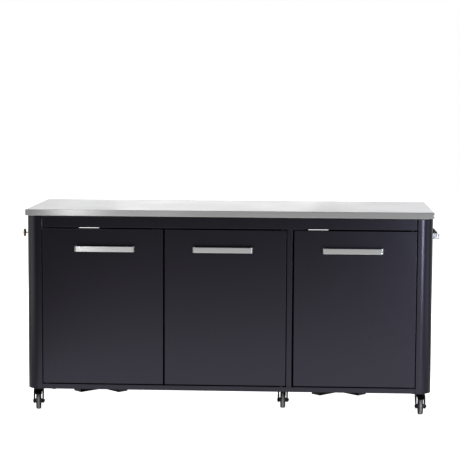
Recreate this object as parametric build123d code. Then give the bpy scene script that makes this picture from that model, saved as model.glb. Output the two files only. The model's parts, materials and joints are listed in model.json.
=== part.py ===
from build123d import *
import os

# Outdoor kitchen unit: a black sheet steel cabinet on six swivel casters, with three inset doors, a folded
# stainless worktop, and two sunk cradles in the floor for gas bottles.
# Millimetres. +X runs right along the front, +Y to the back, +Z up. The functions build the cabinet about
# X 0, and the last lines move it, so that the origin is on the floor under the middle of the outline.

# Worktop
WORKTOP_WIDTH = 1804.0
WORKTOP_DEPTH = 622.0
WORKTOP_THICKNESS = 27.5
WORKTOP_SHEET = 1.5
WORKTOP_RETURN = 22.0
WORKTOP_EDGE_RADIUS = 2.5
FRONT_OVERHANG = 15.0
REAR_OVERHANG = 15.0
SIDE_OVERHANG = 1.0
SHADOW_GAP = 4.5

# Cabinet body
BODY_HEIGHT = 774.7
BODY_SHEET = 1.5
CORNER_RADIUS = 55.0
COLUMN_FLAT = 14.5
COLUMN_RETURN = 30.0
FASCIA_HEIGHT = 48.0
FASCIA_END_GAP = 3.0
RAIL_HEIGHT = 23.0
RAIL_DEPTH = 36.0
PANEL_FLANGE = 25.0
FLOOR_UPTURN = 16.0
POST_WIDTH = 24.0
FIT_GAP = 0.2

# Doors
DOOR_THICKNESS = 20.0
DOOR_SHEET = 1.2
DOOR_EDGE_RADIUS = 1.8
DOOR_GAP_TOP = 6.0
DOOR_GAP_BOTTOM = 3.6
HINGE_GAP = 3.0
MEETING_GAP = 7.0
LATCH_GAP = 7.5

# Pivot hinges
PIVOT_INSET = 18.0
PIN_RADIUS = 4.0
PIN_CLEARANCE = 0.05
PIN_COLLAR_RADIUS = 7.0
PIVOT_BLOCK_LENGTH = 24.0
PIVOT_BLOCK_HEIGHT = 18.0
BRACKET_LENGTH = 30.0
BRACKET_THICKNESS = 3.0
RUNNING_GAP = 0.3

# Magnetic catches
MAGNET_LENGTH = 40.0
MAGNET_HEIGHT = 14.0
MAGNET_INSET = 22.0
STRIKE_LENGTH = 34.0
STRIKE_HEIGHT = 16.0
STRIKE_THICKNESS = 1.5
STRIKE_DROP = 2.0

# Bow handles
HANDLE_LENGTH = 266.0
HANDLE_HEIGHT = 24.0
HANDLE_REACH = 32.0
HANDLE_STRIP = 5.0
HANDLE_LEG = 9.0
HANDLE_BEND_RADIUS = 9.0
HANDLE_CHAMFER = 2.0
HANDLE_DROP = 87.0
HANDLE_SHIFT = 11.0
HANDLE_SCREW_RADIUS = 2.5
HANDLE_SCREW_DEPTH = 14.0
SCREW_HEAD_RADIUS = 4.5
SCREW_HEAD_HEIGHT = 2.5
SCREW_CLEARANCE = 0.1
SIDE_HANDLE_SETBACK = 217.5
SIDE_HANDLE_DROP = 113.0

# Tool peg on the left side
PEG_REACH = 24.0
PEG_HEAD_RADIUS = 17.5
PEG_HEAD_THICKNESS = 8.0
PEG_STEM_RADIUS = 2.5
PEG_COLLAR_RADIUS = 7.0
PEG_COLLAR_THICKNESS = 2.0
PEG_NUT_RADIUS = 5.0
PEG_NUT_HEIGHT = 4.0
PEG_SETBACK = 85.0
PEG_DROP = 112.0

# Bottle cradles, bottle wells and hose slots
CRADLE_DROP = 49.0
CRADLE_STRAP = 50.0
CRADLE_REACH = 150.0
CRADLE_SHEET = 2.0
CRADLE_FOOT = 26.0
WELL_MARGIN = 2.0
LEFT_WELL_INSET = 304.5
RIGHT_WELL_INSET = 404.0
LEFT_SLOT_INSET = 199.0
RIGHT_SLOT_INSET = 502.0
SLOT_WIDTH = 104.0
SLOT_HEIGHT = 40.0
SLOT_DROP = 118.0
SLOT_CORNER_RADIUS = 8.0

# Casters
CASTER_HEIGHT = 100.5
CASTER_PLATE = 62.0
CASTER_PLATE_THICKNESS = 3.0
CASTER_HOLE_PITCH = 46.0
CASTER_TRAIL = 28.0
CASTER_LEFT_INSET = 41.0
CASTER_RIGHT_INSET = 44.5
CASTER_END_INSET = 69.0
MIDDLE_CASTER_SETBACK = 100.0
MIDDLE_CASTER_OFFSET = 28.0
LEFT_CASTER_TURN = 8.0
WHEEL_RADIUS = 37.5
TYRE_WIDTH = 22.5
TYRE_THICKNESS = 11.0
TYRE_SHOULDER = 7.0
HUB_RIM_WIDTH = 18.0
HUB_BARREL_RADIUS = 10.0
FORK_WIDTH = 46.0
FORK_SHEET = 6.8
FORK_CROWN_DEPTH = 48.0
FORK_END_RADIUS = 10.0
SKIRT_DEPTH = 20.0
PEDAL_WIDTH = 31.0
PEDAL_LAP = 12.0
PEDAL_REACH = 42.0
PEDAL_FALL = 11.5
PEDAL_SHEET = 3.0
SWIVEL_CUP_RADIUS = 22.0
SWIVEL_CUP_HEIGHT = 5.7
KINGPIN_RADIUS = 6.0
KINGPIN_HEAD_RADIUS = 9.0
KINGPIN_HEAD_HEIGHT = 3.0
AXLE_RADIUS = 4.0
AXLE_CLEARANCE = 0.08
AXLE_HEAD_RADIUS = 7.0
AXLE_HEAD_HEIGHT = 2.5
AXLE_NUT_HEIGHT = 5.0

# Screws
M6_RADIUS = 3.0
M6_HEAD_RADIUS = 5.0
M6_HEAD_HEIGHT = 4.0
M4_RADIUS = 2.0
M4_HEAD_RADIUS = 4.0
M4_HEAD_HEIGHT = 2.2
M4_LENGTH = 8.0
BACK_SCREWS_PER_SIDE = 5
BACK_SCREWS_ALONG_TOP = 6

# Levels and planes that the sizes above give
sheet = BODY_SHEET
floor_level = CASTER_HEIGHT
top_level = floor_level + BODY_HEIGHT
worktop_base = top_level + SHADOW_GAP
worktop_level = worktop_base + WORKTOP_THICKNESS
rail_top = floor_level + RAIL_HEIGHT
fascia_bottom = top_level - FASCIA_HEIGHT
door_bottom = rail_top + DOOR_GAP_BOTTOM
door_top = fascia_bottom - DOOR_GAP_TOP

side_face = WORKTOP_WIDTH / 2 - SIDE_OVERHANG
outline_middle = (HANDLE_REACH - PEG_REACH) / 2
column_edge = side_face - CORNER_RADIUS - COLUMN_FLAT
rail_end = column_edge - FIT_GAP
inner_side = side_face - sheet - FIT_GAP
body_depth = WORKTOP_DEPTH - FRONT_OVERHANG - REAR_OVERHANG
front_reach = max(HANDLE_REACH, FRONT_OVERHANG)
front = (front_reach - body_depth - REAR_OVERHANG) / 2
back = front + body_depth
body_middle = (front + back) / 2
rail_back = front + RAIL_DEPTH
flange_back = back - sheet
flange_front = flange_back - sheet

gaps_across = 3 * HINGE_GAP + MEETING_GAP + LATCH_GAP
door_width = (2 * column_edge - POST_WIDTH - gaps_across) / 3
left_door = (-column_edge + HINGE_GAP, -column_edge + HINGE_GAP + door_width)
middle_door = (left_door[1] + MEETING_GAP, left_door[1] + MEETING_GAP + door_width)
post = (middle_door[1] + HINGE_GAP, middle_door[1] + HINGE_GAP + POST_WIDTH)
right_door = (post[1] + LATCH_GAP, post[1] + LATCH_GAP + door_width)
door_back = front + DOOR_THICKNESS
pivot_y = front + DOOR_THICKNESS / 2
handle_level = door_top - HANDLE_DROP

# Each door by name: its extent across, and the side that its pivots are on, -1 left or +1 right.
DOORS = {
    "door_left": (left_door, -1),
    "door_middle": (middle_door, 1),
    "door_right": (right_door, 1),
}

side_handle_y = front + SIDE_HANDLE_SETBACK
side_handle_level = worktop_level - SIDE_HANDLE_DROP
peg_y = front + PEG_SETBACK
peg_level = worktop_level - PEG_DROP

well_radius = CRADLE_REACH - CRADLE_SHEET - WELL_MARGIN
WELLS = {
    "left": -side_face + LEFT_WELL_INSET,
    "right": side_face - RIGHT_WELL_INSET,
}
SLOTS = {
    "left": -side_face + LEFT_SLOT_INSET,
    "right": side_face - RIGHT_SLOT_INSET,
}
slot_level = worktop_level - SLOT_DROP

left_x = -side_face + CASTER_LEFT_INSET
right_x = side_face - CASTER_RIGHT_INSET
middle_x = (post[0] + post[1]) / 2 - MIDDLE_CASTER_OFFSET
middle_inset = CASTER_END_INSET + MIDDLE_CASTER_SETBACK

# Each caster by name: its swivel axis as X and Y, and how far it is swivelled as it stands, in degrees.
CASTERS = {
    "caster_front_left": (left_x, front + CASTER_END_INSET, LEFT_CASTER_TURN),
    "caster_front_middle": (middle_x, front + middle_inset, 0.0),
    "caster_front_right": (right_x, front + CASTER_END_INSET, 0.0),
    "caster_rear_left": (left_x, back - CASTER_END_INSET, 0.0),
    "caster_rear_middle": (middle_x, back - middle_inset, 0.0),
    "caster_rear_right": (right_x, back - CASTER_END_INSET, 0.0),
}
BRAKED = ("caster_front_left", "caster_front_right")
plate_bottom = floor_level - CASTER_PLATE_THICKNESS
cup_bottom = plate_bottom - SWIVEL_CUP_HEIGHT
crown_top = cup_bottom - RUNNING_GAP
crown_bottom = crown_top - FORK_SHEET
fork_inside = FORK_WIDTH / 2 - FORK_SHEET
hub_half = fork_inside - RUNNING_GAP
rim_radius = WHEEL_RADIUS - TYRE_THICKNESS


def block(x, y, z):
    """A box between two values along each axis."""
    middle = Pos((x[0] + x[1]) / 2, (y[0] + y[1]) / 2, (z[0] + z[1]) / 2)
    return middle * Box(x[1] - x[0], y[1] - y[0], z[1] - z[0])


def rod_x(radius, x, y, z):
    """A round rod along X between two values."""
    return Pos((x[0] + x[1]) / 2, y, z) * Rot(0, 90, 0) * Cylinder(radius, x[1] - x[0])


def rod_y(radius, x, y, z):
    """A round rod along Y between two values."""
    return Pos(x, (y[0] + y[1]) / 2, z) * Rot(90, 0, 0) * Cylinder(radius, y[1] - y[0])


def rod_z(radius, x, y, z):
    """A round rod along Z between two values."""
    return Pos(x, y, (z[0] + z[1]) / 2) * Cylinder(radius, z[1] - z[0])


def both_ways(value):
    """The pair from minus a value to plus that value."""
    return (-value, value)


def pivot_x(extent, side):
    """Where a door's pivot axis lies across the front."""
    return extent[0] + PIVOT_INSET if side < 0 else extent[1] - PIVOT_INSET


def handle_x(extent, side):
    """The middle of a door's handle, a little towards the free edge."""
    return (extent[0] + extent[1]) / 2 - side * HANDLE_SHIFT


def magnet_x(extent, side):
    """The middle of a door's magnet, near the top of the free edge."""
    free_edge = extent[1] if side < 0 else extent[0]
    return free_edge + side * (MAGNET_INSET + FIT_GAP)


def screw_pattern(x, y):
    """The four screw places of a caster plate about its swivel axis."""
    reach = CASTER_HOLE_PITCH / 2
    return [(x + i * reach, y + j * reach) for i in (-1, 1) for j in (-1, 1)]


def cradle_screws(x):
    """The four screw places of a bottle cradle's feet, on the diagonals."""
    reach = (CRADLE_REACH + CRADLE_FOOT / 2) / 2**0.5
    return [(x + i * reach, body_middle + j * reach) for i in (-1, 1) for j in (-1, 1)]


def back_screw_places():
    """Screw places on the back panel as X and Z, down both sides and along the top."""
    side_x = inner_side - PANEL_FLANGE / 2
    pitch = BODY_HEIGHT / BACK_SCREWS_PER_SIDE
    levels = [floor_level + pitch * (i + 0.5) for i in range(BACK_SCREWS_PER_SIDE)]
    places = [(side * side_x, z) for side in (-1, 1) for z in levels]
    pitch = 2 * (side_x - PANEL_FLANGE) / BACK_SCREWS_ALONG_TOP
    across = [pitch * (i + 0.5) - side_x + PANEL_FLANGE for i in range(BACK_SCREWS_ALONG_TOP)]
    return places + [(x, top_level - FASCIA_HEIGHT / 2) for x in across]


def screw_holes_in_back():
    """Clearance holes for the back panel's screws."""
    depth = (back - 2 * M4_LENGTH, back + M4_LENGTH)
    return [rod_y(M4_RADIUS + SCREW_CLEARANCE, x, depth, z) for x, z in back_screw_places()]


def worktop():
    """The stainless skin: top, skirt all round and a return under its edge."""
    y = (front - FRONT_OVERHANG, back + REAR_OVERHANG)
    skin = block(both_ways(WORKTOP_WIDTH / 2), y, (worktop_base, worktop_level))
    upper = skin.edges().group_by(Axis.Z)[-1]
    corners = skin.edges().filter_by(Axis.Z)
    skin = fillet(upper + corners, WORKTOP_EDGE_RADIUS)
    inner_y = (y[0] + WORKTOP_SHEET, y[1] - WORKTOP_SHEET)
    inner_x = both_ways(WORKTOP_WIDTH / 2 - WORKTOP_SHEET)
    skin -= block(inner_x, inner_y, (worktop_base + WORKTOP_SHEET, worktop_level - WORKTOP_SHEET))
    open_y = (y[0] + WORKTOP_RETURN, y[1] - WORKTOP_RETURN)
    open_x = both_ways(WORKTOP_WIDTH / 2 - WORKTOP_RETURN)
    return skin - block(open_x, open_y, (worktop_base, worktop_base + WORKTOP_SHEET))


def worktop_core():
    """The board that fills the skin, with a step that stands on the cabinet and leaves a shadow gap."""
    board = []
    levels = {
        WORKTOP_SHEET: (worktop_base + WORKTOP_SHEET, worktop_level - WORKTOP_SHEET),
        WORKTOP_RETURN: (top_level, worktop_base + WORKTOP_SHEET),
    }
    for wall, z in levels.items():
        inset = wall + FIT_GAP
        y = (front - FRONT_OVERHANG + inset, back + REAR_OVERHANG - inset)
        board.append(block(both_ways(WORKTOP_WIDTH / 2 - inset), y, z))
    return board[0] + board[1]


def side_panel():
    """The left side: flat sheet, rounded front column with its return, and flanges on top and behind."""
    outer = -side_face
    round_x = outer + CORNER_RADIUS
    round_y = front + CORNER_RADIUS
    height = (floor_level, top_level)
    panel = block((outer, outer + sheet), (round_y, back), height)
    bend = rod_z(CORNER_RADIUS, round_x, round_y, height)
    bend -= rod_z(CORNER_RADIUS - sheet, round_x, round_y, height)
    panel += bend & block((outer, round_x), (front, round_y), height)
    panel += block((round_x, -column_edge), (front, front + sheet), height)
    panel += block((-column_edge - sheet, -column_edge), (front, front + COLUMN_RETURN), height)
    flange = (outer, outer + sheet + PANEL_FLANGE)
    panel += block(flange, (round_y, flange_back), (top_level - sheet, top_level))
    panel += block(flange, (flange_front, flange_back), height)
    return panel - screw_holes_in_back()


def side_panel_left():
    """The left side with the hole for the tool peg."""
    reach = (-side_face - sheet, -side_face + 2 * sheet)
    return side_panel() - rod_x(PEG_STEM_RADIUS + SCREW_CLEARANCE, reach, peg_y, peg_level)


def side_panel_right():
    """The right side, a mirror image, with the holes for the side handle."""
    panel = mirror(side_panel(), about=Plane.YZ)
    reach = (side_face - 2 * sheet, side_face + sheet)
    spread = (HANDLE_LENGTH - HANDLE_LEG) / 2
    for y in (side_handle_y - spread, side_handle_y + spread):
        panel -= rod_x(HANDLE_SCREW_RADIUS + SCREW_CLEARANCE, reach, y, side_handle_level)
    return panel


def channel(x, z):
    """A front channel between the columns, open at the back."""
    rail = block(x, (front, front + sheet), z)
    rail += block(x, (front, rail_back), (z[0], z[0] + sheet))
    return rail + block(x, (front, rail_back), (z[1] - sheet, z[1]))


def pin_holes(z):
    """Clearance holes for the doors' pivot pins through a flange."""
    radius = PIN_RADIUS + RUNNING_GAP
    return [rod_z(radius, pivot_x(*door), pivot_y, z) for door in DOORS.values()]


def fascia():
    """The channel over the doors, with a gap at each end like the one beside the doors."""
    rail = channel(both_ways(column_edge - FASCIA_END_GAP), (fascia_bottom, top_level))
    return rail - pin_holes((fascia_bottom, fascia_bottom + sheet))


def bottom_rail():
    """The channel under the doors."""
    return channel(both_ways(rail_end), (floor_level, rail_top)) - pin_holes((rail_top - sheet, rail_top))


def rear_rail():
    """The channel behind, under the worktop's back edge, between the side flanges."""
    x = both_ways(inner_side - PANEL_FLANGE)
    z = (fascia_bottom, top_level)
    y = (flange_back - RAIL_DEPTH, flange_back)
    rail = block(x, (flange_front, flange_back), z)
    rail += block(x, y, (z[0], z[0] + sheet))
    rail += block(x, y, (z[1] - sheet, z[1]))
    return rail - screw_holes_in_back()


def floor_pan():
    """The floor: a sheet inside the sides with upturned edges, two bottle wells and screw holes."""
    x = both_ways(inner_side)
    y = (front + sheet + FIT_GAP, flange_front - FIT_GAP)
    pan = block(x, y, (floor_level, floor_level + sheet))
    front_corners = pan.edges().filter_by(Axis.Z).group_by(Axis.Y)[0]
    pan = fillet(front_corners, CORNER_RADIUS - sheet - FIT_GAP)
    rail_room = both_ways(column_edge + sheet + FIT_GAP)
    pan -= block(rail_room, (front, rail_back + FIT_GAP), (floor_level, floor_level + sheet))
    upturn = (floor_level, floor_level + FLOOR_UPTURN)
    front_edge = rail_back + FIT_GAP
    pan += block(both_ways(rail_end), (front_edge, front_edge + sheet), upturn)
    pan += block(x, (y[1] - sheet, y[1]), upturn)
    side_y = (front + CORNER_RADIUS, y[1])
    for side in (-1, 1):
        ends = sorted((side * inner_side, side * (inner_side - sheet)))
        pan += block(ends, side_y, upturn)
    through = (floor_level - sheet, floor_level + 2 * sheet)
    for centre in WELLS.values():
        pan -= rod_z(well_radius, centre, body_middle, through)
    return pan - [rod_z(M6_RADIUS + SCREW_CLEARANCE, x, y, through) for x, y in m6_places()]


def m6_places():
    """Every caster and cradle screw as X and Y."""
    places = [place for x, y, turn in CASTERS.values() for place in screw_pattern(x, y)]
    return places + [place for centre in WELLS.values() for place in cradle_screws(centre)]


def back_panel():
    """The back sheet between the sides, with a hose slot beside each bottle."""
    z = (floor_level, top_level)
    panel = block(both_ways(inner_side), (flange_back, back), z)
    for centre in SLOTS.values():
        slot = RectangleRounded(SLOT_WIDTH, SLOT_HEIGHT, SLOT_CORNER_RADIUS)
        place = Plane.XZ * slot
        cutter = extrude(place, 2 * sheet, both=True)
        panel -= Pos(centre, back, slot_level) * cutter
    return panel - screw_holes_in_back()


def divider_post():
    """The post between the middle and the right door, open at the back."""
    z = (rail_top, fascia_bottom)
    bar = block(post, (front, front + sheet), z)
    for edge in ((post[0], post[0] + sheet), (post[1] - sheet, post[1])):
        bar += block(edge, (front, front + COLUMN_RETURN), z)
    return bar


def partition():
    """The wall between the compartments, laid against the post, with a foot and a rear flange."""
    web = (post[1] - 2 * sheet, post[1] - sheet)
    foot = (web[0], post[1] + PANEL_FLANGE)
    start = rail_back + FIT_GAP + sheet + FIT_GAP
    end = flange_front - 2 * FIT_GAP - sheet
    low = floor_level + sheet
    wall = block(web, (start, end), (low, fascia_bottom - FIT_GAP))
    wall += block(web, (front + sheet, start), (rail_top, fascia_bottom - FIT_GAP))
    wall += block(foot, (start, end), (low, low + sheet))
    above_upturn = floor_level + FLOOR_UPTURN + FIT_GAP
    return wall + block(foot, (end - sheet, end), (above_upturn, fascia_bottom - FIT_GAP))


def bottle_cradle(centre):
    """Two crossed straps under a bottle well, bent up at the ends to feet on the floor."""
    low = floor_level - CRADLE_DROP
    half = CRADLE_STRAP / 2
    outer = CRADLE_REACH + CRADLE_FOOT
    strap = block(both_ways(CRADLE_REACH), both_ways(half), (low, low + CRADLE_SHEET))
    for side in (-1, 1):
        riser = sorted((side * CRADLE_REACH, side * (CRADLE_REACH - CRADLE_SHEET)))
        foot = sorted((side * (CRADLE_REACH - CRADLE_SHEET), side * outer))
        strap += block(riser, both_ways(half), (low, floor_level))
        strap += block(foot, both_ways(half), (floor_level - CRADLE_SHEET, floor_level))
    place = Pos(centre, body_middle, 0)
    cross = place * Rot(0, 0, 45) * strap + place * Rot(0, 0, -45) * strap
    reach = (low, floor_level)
    return cross - [rod_z(M6_RADIUS + SCREW_CLEARANCE, x, y, reach) for x, y in cradle_screws(centre)]


def m6_screw(x, y, under):
    """A screw up through a plate and the floor, with its nut inside the cabinet."""
    above = floor_level + sheet
    screw = rod_z(M6_RADIUS, x, y, (under, above))
    head = RegularPolygon(M6_HEAD_RADIUS, 6, major_radius=False)
    screw += Pos(x, y, under) * extrude(head, -M6_HEAD_HEIGHT)
    return screw + Pos(x, y, above) * extrude(head, M6_HEAD_HEIGHT)


def mounting_screws():
    """The screws of the casters and of the cradles."""
    casters = [m6_screw(*p, plate_bottom) for x, y, turn in CASTERS.values() for p in screw_pattern(x, y)]
    under = floor_level - CRADLE_SHEET
    return casters + [m6_screw(*p, under) for c in WELLS.values() for p in cradle_screws(c)]


def back_screws():
    """Round headed screws that hold the back panel."""
    screws = []
    for x, z in back_screw_places():
        shank = rod_y(M4_RADIUS, x, (back - M4_LENGTH, back), z)
        screws.append(shank + rod_y(M4_HEAD_RADIUS, x, (back, back + M4_HEAD_HEIGHT), z))
    return screws


def bow_handle():
    """A bow handle on a face at Y 0, reaching towards -Y, with its two screws from behind the face."""
    half = HANDLE_LENGTH / 2
    level = both_ways(HANDLE_HEIGHT / 2)
    bow = block(both_ways(half), (-HANDLE_REACH, 0), level)
    bends = bow.edges().filter_by(Axis.Z).group_by(Axis.Y)[0]
    bow = fillet(bends, HANDLE_BEND_RADIUS)
    long_edges = bow.faces().sort_by(Axis.Y)[0].edges().filter_by(Axis.X)
    bow = chamfer(long_edges, HANDLE_CHAMFER)
    finger_room = block(both_ways(half - HANDLE_LEG), (HANDLE_STRIP - HANDLE_REACH, HANDLE_STRIP), level)
    inner_bends = finger_room.edges().filter_by(Axis.Z).group_by(Axis.Y)[0]
    bow -= fillet(inner_bends, HANDLE_BEND_RADIUS - HANDLE_STRIP)
    screws = []
    for x in (HANDLE_LEG / 2 - half, half - HANDLE_LEG / 2):
        bow -= rod_y(HANDLE_SCREW_RADIUS + SCREW_CLEARANCE, x, (-HANDLE_SCREW_DEPTH, 0), 0)
        screw = rod_y(HANDLE_SCREW_RADIUS, x, (SCREW_CLEARANCE - HANDLE_SCREW_DEPTH, DOOR_SHEET), 0)
        head = (DOOR_SHEET, DOOR_SHEET + SCREW_HEAD_HEIGHT)
        screws.append(screw + rod_y(SCREW_HEAD_RADIUS, x, head, 0))
    return [bow] + screws


def side_handle():
    """The same handle on the right side, running front to back; the side sheet is under its screw heads."""
    place = Pos(side_face, side_handle_y, side_handle_level) * Rot(0, 0, 90)
    step = Pos(0, sheet - DOOR_SHEET, 0)
    bow, *screws = bow_handle()
    return [place * bow] + [place * step * screw for screw in screws]


def tool_peg():
    """A disc headed peg on the left side, held by a nut inside."""
    outer = -side_face
    tip = outer - PEG_REACH
    peg = rod_x(PEG_STEM_RADIUS, (tip, outer + sheet), peg_y, peg_level)
    head = rod_x(PEG_HEAD_RADIUS, (tip, tip + PEG_HEAD_THICKNESS), peg_y, peg_level)
    peg += fillet(head.edges(), PEG_HEAD_THICKNESS / 4)
    peg += rod_x(PEG_COLLAR_RADIUS, (outer - PEG_COLLAR_THICKNESS, outer), peg_y, peg_level)
    nut = (outer + sheet, outer + sheet + PEG_NUT_HEIGHT)
    return peg + rod_x(PEG_NUT_RADIUS, nut, peg_y, peg_level)


def door_skin(extent, side):
    """The outer pan of a door: face and four folded edges, open at the back."""
    z = (door_bottom, door_top)
    depth = DOOR_THICKNESS - DOOR_SHEET
    pan = block(extent, (front, front + depth), z)
    pan = fillet(pan.faces().sort_by(Axis.Y)[0].edges(), DOOR_EDGE_RADIUS)
    inner_x = (extent[0] + DOOR_SHEET, extent[1] - DOOR_SHEET)
    inner_z = (z[0] + DOOR_SHEET, z[1] - DOOR_SHEET)
    pan -= block(inner_x, (front + DOOR_SHEET, front + DOOR_THICKNESS), inner_z)
    through = (z[0] - DOOR_SHEET, z[1] + DOOR_SHEET)
    pan -= rod_z(PIN_RADIUS + PIN_CLEARANCE, pivot_x(extent, side), pivot_y, through)
    spread = (HANDLE_LENGTH - HANDLE_LEG) / 2
    for x in (handle_x(extent, side) - spread, handle_x(extent, side) + spread):
        radius = HANDLE_SCREW_RADIUS + SCREW_CLEARANCE
        pan -= rod_y(radius, x, (front - DOOR_SHEET, front + DOOR_SHEET), handle_level)
    return pan


def door_liner(extent):
    """The flat inner sheet that closes a door's pan."""
    inset = DOOR_SHEET / 2
    x = (extent[0] + inset, extent[1] - inset)
    return block(x, (door_back - DOOR_SHEET, door_back), (door_bottom + inset, door_top - inset))


def pivot_pins(extent, side):
    """A door's two pivots: blocks in the pan with pins; a collar on the lower pin bears the door."""
    x = pivot_x(extent, side)
    room = DOOR_THICKNESS / 2 - DOOR_SHEET - FIT_GAP
    block_x = (x - PIVOT_BLOCK_LENGTH / 2, x + PIVOT_BLOCK_LENGTH / 2)
    block_y = (pivot_y - room, pivot_y + room)
    low = door_bottom + DOOR_SHEET
    high = door_top - DOOR_SHEET
    lower = block(block_x, block_y, (low, low + PIVOT_BLOCK_HEIGHT))
    lower += rod_z(PIN_RADIUS, x, pivot_y, (rail_top - sheet - BRACKET_THICKNESS, low))
    lower += rod_z(PIN_COLLAR_RADIUS, x, pivot_y, (rail_top, door_bottom))
    upper = block(block_x, block_y, (high - PIVOT_BLOCK_HEIGHT, high))
    upper += rod_z(PIN_RADIUS, x, pivot_y, (high, fascia_bottom + sheet + BRACKET_THICKNESS))
    return [lower, upper]


def pivot_brackets():
    """Bearing plates for the pins, on the fascia's lower flange and under the rail's upper one."""
    plates = []
    depth = (front + sheet, rail_back)
    levels = [
        (rail_top - sheet - BRACKET_THICKNESS, rail_top - sheet),
        (fascia_bottom + sheet, fascia_bottom + sheet + BRACKET_THICKNESS),
    ]
    for extent, side in DOORS.values():
        x = pivot_x(extent, side)
        for z in levels:
            plate = block((x - BRACKET_LENGTH / 2, x + BRACKET_LENGTH / 2), depth, z)
            plates.append(plate - rod_z(PIN_RADIUS + PIN_CLEARANCE, x, pivot_y, z))
    return plates


def door_magnets():
    """Magnet blocks that hang from the fascia's lower flange behind each door's free edge."""
    y = (door_back + STRIKE_THICKNESS + RUNNING_GAP, rail_back)
    z = (fascia_bottom - MAGNET_HEIGHT, fascia_bottom)
    magnets = []
    for door in DOORS.values():
        x = magnet_x(*door)
        magnets.append(block((x - MAGNET_LENGTH / 2, x + MAGNET_LENGTH / 2), y, z))
    return magnets


def door_strike(extent, side):
    """The thin steel plate on the liner that the magnet pulls."""
    x = magnet_x(extent, side)
    high = door_top - STRIKE_DROP
    across = (x - STRIKE_LENGTH / 2, x + STRIKE_LENGTH / 2)
    return block(across, (door_back, door_back + STRIKE_THICKNESS), (high - STRIKE_HEIGHT, high))


def caster_plate(x, y):
    """A caster's top plate with the bearing cup and the riveted kingpin under it."""
    half = CASTER_PLATE / 2
    plate = block((x - half, x + half), (y - half, y + half), (plate_bottom, floor_level))
    for hole_x, hole_y in screw_pattern(x, y):
        plate -= rod_z(M6_RADIUS + SCREW_CLEARANCE, hole_x, hole_y, (plate_bottom, floor_level))
    plate += rod_z(SWIVEL_CUP_RADIUS, x, y, (cup_bottom, plate_bottom))
    head_top = crown_bottom - RUNNING_GAP
    plate += rod_z(KINGPIN_RADIUS, x, y, (head_top, cup_bottom))
    return plate + rod_z(KINGPIN_HEAD_RADIUS, x, y, (head_top - KINGPIN_HEAD_HEIGHT, head_top))


def caster_fork():
    """The pressed fork about its swivel axis: a crown, two cheeks that lean to the axle, a skirt behind."""
    half = FORK_CROWN_DEPTH / 2
    fork = block(both_ways(FORK_WIDTH / 2), both_ways(half), (crown_bottom, crown_top))
    fork -= rod_z(KINGPIN_RADIUS + AXLE_CLEARANCE, 0, 0, (crown_bottom, crown_top))
    corners = [
        (-half, crown_top),
        (half, crown_top),
        (FORK_END_RADIUS - CASTER_TRAIL, WHEEL_RADIUS),
        (-FORK_END_RADIUS - CASTER_TRAIL, WHEEL_RADIUS),
    ]
    axle = Pos(-CASTER_TRAIL, WHEEL_RADIUS)
    outline = make_face(Polyline(*corners, close=True)) + axle * Circle(FORK_END_RADIUS)
    outline -= axle * Circle(AXLE_RADIUS + AXLE_CLEARANCE)
    cheek = extrude(Plane.YZ * outline, FORK_SHEET)
    fork += Pos(-FORK_WIDTH / 2, 0, 0) * cheek + Pos(fork_inside, 0, 0) * cheek
    lean = (half + CASTER_TRAIL - FORK_END_RADIUS) / (crown_top - WHEEL_RADIUS)
    skirt_y = half - lean * SKIRT_DEPTH
    skirt = [
        (half, crown_top),
        (skirt_y, crown_top - SKIRT_DEPTH),
        (skirt_y - FORK_SHEET, crown_top - SKIRT_DEPTH),
        (half - FORK_SHEET, crown_top),
    ]
    wall = Plane.YZ * make_face(Polyline(*skirt, close=True))
    return fork + extrude(wall, FORK_WIDTH / 2, both=True)


def brake_pedal():
    """The pedal of a braked caster: a plate laid under the crown and bent down over the wheel's front."""
    bend = -FORK_CROWN_DEPTH / 2
    tip = bend - PEDAL_REACH
    side = [
        (bend + PEDAL_LAP, crown_bottom),
        (bend, crown_bottom),
        (tip, crown_bottom - PEDAL_FALL),
        (tip, crown_bottom - PEDAL_FALL - PEDAL_SHEET),
        (bend, crown_bottom - PEDAL_SHEET),
        (bend + PEDAL_LAP, crown_bottom - PEDAL_SHEET),
    ]
    plate = Plane.YZ * make_face(Polyline(*side, close=True))
    return extrude(plate, PEDAL_WIDTH / 2, both=True)


def caster_axle():
    """The axle bolt: a low round head on the left, a longer nut on the right."""
    end = FORK_WIDTH / 2
    axle = rod_x(AXLE_RADIUS, both_ways(end), -CASTER_TRAIL, WHEEL_RADIUS)
    axle += rod_x(AXLE_HEAD_RADIUS, (-end - AXLE_HEAD_HEIGHT, -end), -CASTER_TRAIL, WHEEL_RADIUS)
    nut = Plane.YZ * RegularPolygon(AXLE_HEAD_RADIUS, 6)
    return axle + Pos(end, -CASTER_TRAIL, WHEEL_RADIUS) * extrude(nut, AXLE_NUT_HEIGHT)


def caster_hub():
    """The wheel's moulded core, rim and barrel, bored for the axle."""
    hub = rod_x(rim_radius, both_ways(HUB_RIM_WIDTH / 2), -CASTER_TRAIL, WHEEL_RADIUS)
    hub += rod_x(HUB_BARREL_RADIUS, both_ways(hub_half), -CASTER_TRAIL, WHEEL_RADIUS)
    return hub - rod_x(AXLE_RADIUS + AXLE_CLEARANCE, both_ways(FORK_WIDTH), -CASTER_TRAIL, WHEEL_RADIUS)


def caster_tyre():
    """The round shouldered rubber tyre on the core."""
    width = both_ways(TYRE_WIDTH / 2)
    tyre = fillet(rod_x(WHEEL_RADIUS, width, -CASTER_TRAIL, WHEEL_RADIUS).edges(), TYRE_SHOULDER)
    return tyre - rod_x(rim_radius, width, -CASTER_TRAIL, WHEEL_RADIUS)


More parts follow.
